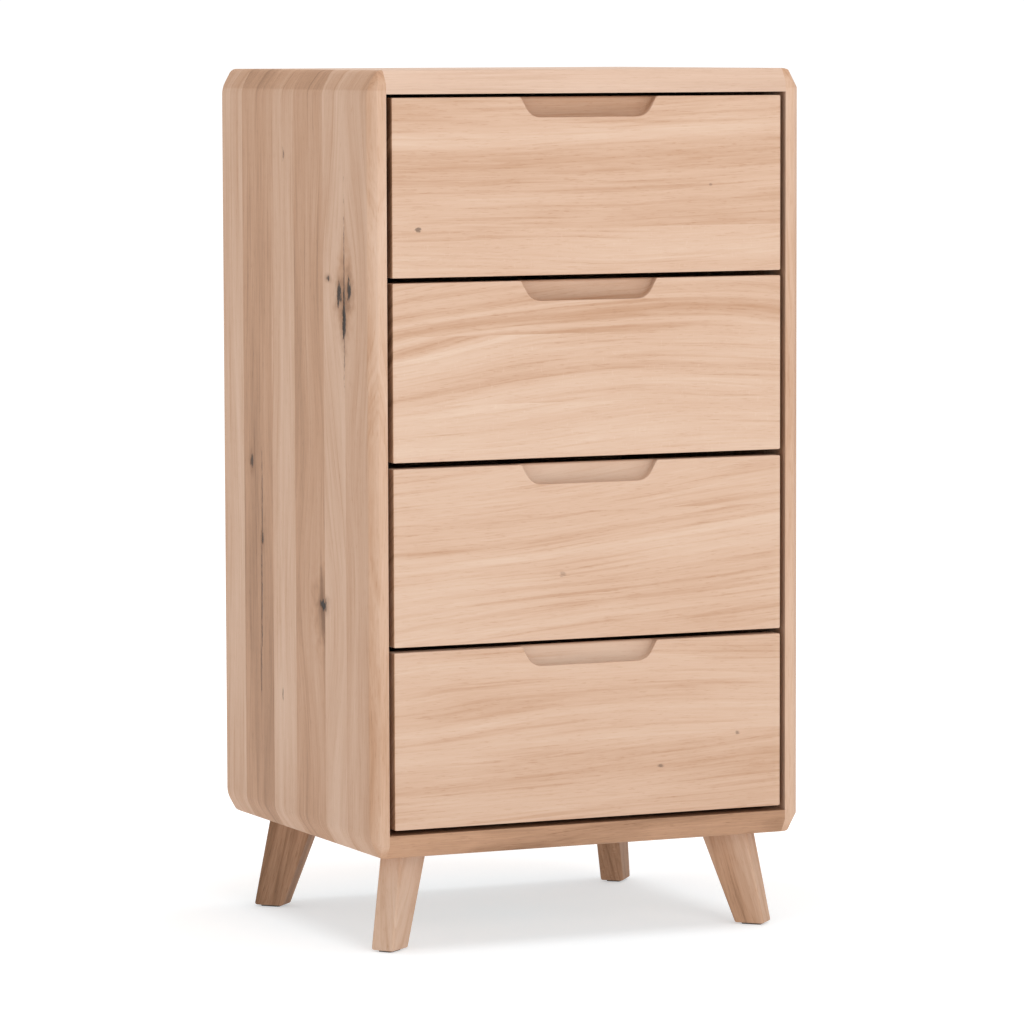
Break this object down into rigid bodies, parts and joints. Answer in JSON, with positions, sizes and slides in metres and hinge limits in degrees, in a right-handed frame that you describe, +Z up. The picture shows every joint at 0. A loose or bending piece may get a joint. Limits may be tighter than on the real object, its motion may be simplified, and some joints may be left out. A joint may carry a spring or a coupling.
{
  "type": "chest of drawers",
  "caption": "Tall narrow oak chest of drawers on splayed tapered legs, with inset fronts, milled finger pulls and telescopic slides.",
  "frame": {"origin": "on the floor under the middle of the carcass", "axes": "+Z up, front of the chest faces -Y, +X to the right of a person facing the front"},
  "size_m": [0.542, 0.45, 1.002],
  "materials": {
    "oak_carcass": "matte oiled, vertical staves on the sides",
    "oak_tongue": "raw",
    "oak_back": "matte oiled veneered panel",
    "oak_leg": "matte oiled",
    "oak_front": "matte oiled, grain running across",
    "oak_box": "matte oiled",
    "ply_bottom": "matte veneered panel",
    "slide_steel": "zinc plated",
    "screw_steel": "zinc plated",
    "insert_brass": "plain",
    "glide_felt": "pressed felt"
  },
  "bodies": {
    "carcass": {"side_left": "oak_carcass", "side_right": "oak_carcass", "top_panel": "oak_carcass", "bottom_panel": "oak_carcass", "corner_tongues": "oak_tongue", "back_panel": "oak_back", "back_screws": "screw_steel", "leg_front_left": "oak_leg", "leg_front_right": "oak_leg", "leg_rear_left": "oak_leg", "leg_rear_right": "oak_leg", "leg_glides": "glide_felt", "leg_bolts": "screw_steel", "leg_inserts": "insert_brass", "slide_1_cabinet": "slide_steel", "slide_2_cabinet": "slide_steel", "slide_3_cabinet": "slide_steel", "slide_4_cabinet": "slide_steel"},
    "drawer_1": {"drawer_1_front": "oak_front", "drawer_1_box_front": "oak_box", "drawer_1_box_left": "oak_box", "drawer_1_box_right": "oak_box", "drawer_1_box_back": "oak_box", "drawer_1_box_bottom": "ply_bottom", "drawer_1_screws": "screw_steel", "slide_1_drawer": "slide_steel"},
    "slide_1_runner": {"slide_1_middle": "slide_steel"},
    "drawer_2": {"drawer_2_front": "oak_front", "drawer_2_box_front": "oak_box", "drawer_2_box_left": "oak_box", "drawer_2_box_right": "oak_box", "drawer_2_box_back": "oak_box", "drawer_2_box_bottom": "ply_bottom", "drawer_2_screws": "screw_steel", "slide_2_drawer": "slide_steel"},
    "slide_2_runner": {"slide_2_middle": "slide_steel"},
    "drawer_3": {"drawer_3_front": "oak_front", "drawer_3_box_front": "oak_box", "drawer_3_box_left": "oak_box", "drawer_3_box_right": "oak_box", "drawer_3_box_back": "oak_box", "drawer_3_box_bottom": "ply_bottom", "drawer_3_screws": "screw_steel", "slide_3_drawer": "slide_steel"},
    "slide_3_runner": {"slide_3_middle": "slide_steel"},
    "drawer_4": {"drawer_4_front": "oak_front", "drawer_4_box_front": "oak_box", "drawer_4_box_left": "oak_box", "drawer_4_box_right": "oak_box", "drawer_4_box_back": "oak_box", "drawer_4_box_bottom": "ply_bottom", "drawer_4_screws": "screw_steel", "slide_4_drawer": "slide_steel"},
    "slide_4_runner": {"slide_4_middle": "slide_steel"}
  },
  "joints": [
    {"name": "drawer_1_slide", "type": "slide", "parent": "carcass", "child": "drawer_1", "axis": [0, -1, 0], "range_m": [0, 0.35]},
    {"name": "slide_1_middle_travel", "type": "slide", "parent": "carcass", "child": "slide_1_runner", "axis": [0, -1, 0], "range_m": [0, 0.175]},
    {"name": "drawer_2_slide", "type": "slide", "parent": "carcass", "child": "drawer_2", "axis": [0, -1, 0], "range_m": [0, 0.35]},
    {"name": "slide_2_middle_travel", "type": "slide", "parent": "carcass", "child": "slide_2_runner", "axis": [0, -1, 0], "range_m": [0, 0.175]},
    {"name": "drawer_3_slide", "type": "slide", "parent": "carcass", "child": "drawer_3", "axis": [0, -1, 0], "range_m": [0, 0.35]},
    {"name": "slide_3_middle_travel", "type": "slide", "parent": "carcass", "child": "slide_3_runner", "axis": [0, -1, 0], "range_m": [0, 0.175]},
    {"name": "drawer_4_slide", "type": "slide", "parent": "carcass", "child": "drawer_4", "axis": [0, -1, 0], "range_m": [0, 0.35]},
    {"name": "slide_4_middle_travel", "type": "slide", "parent": "carcass", "child": "slide_4_runner", "axis": [0, -1, 0], "range_m": [0, 0.175]}
  ],
  "couplings": [
    {"joint": "slide_1_middle_travel", "follows": "drawer_1_slide", "ratio": 0.5},
    {"joint": "slide_2_middle_travel", "follows": "drawer_2_slide", "ratio": 0.5},
    {"joint": "slide_3_middle_travel", "follows": "drawer_3_slide", "ratio": 0.5},
    {"joint": "slide_4_middle_travel", "follows": "drawer_4_slide", "ratio": 0.5}
  ]
}
